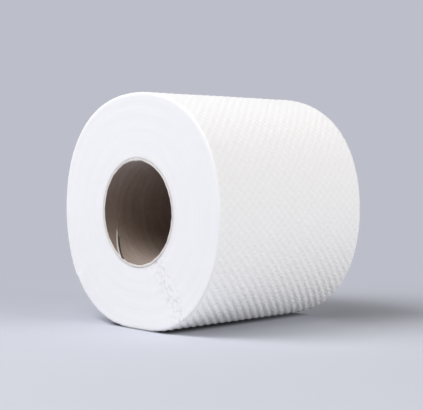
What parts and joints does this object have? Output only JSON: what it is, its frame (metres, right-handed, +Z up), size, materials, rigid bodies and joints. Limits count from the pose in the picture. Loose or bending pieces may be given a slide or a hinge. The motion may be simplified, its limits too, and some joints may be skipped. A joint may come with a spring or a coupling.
{
  "type": "toilet paper roll",
  "caption": "Soft white tissue roll wound on a hollow cardboard core, lying on its side on a small flat spot.",
  "frame": {"origin": "on the surface the roll lies on, under the middle of its length and its width", "axes": "+X along the roll's axis and its cardboard core, +Z up"},
  "size_m": [0.088, 0.1038, 0.1024],
  "materials": {
    "tissue": "matte, embossed",
    "core_board": "matte, spiral wound"
  },
  "bodies": {
    "root": {"paper_winding": "tissue", "cardboard_core": "core_board"}
  },
  "joints": []
}
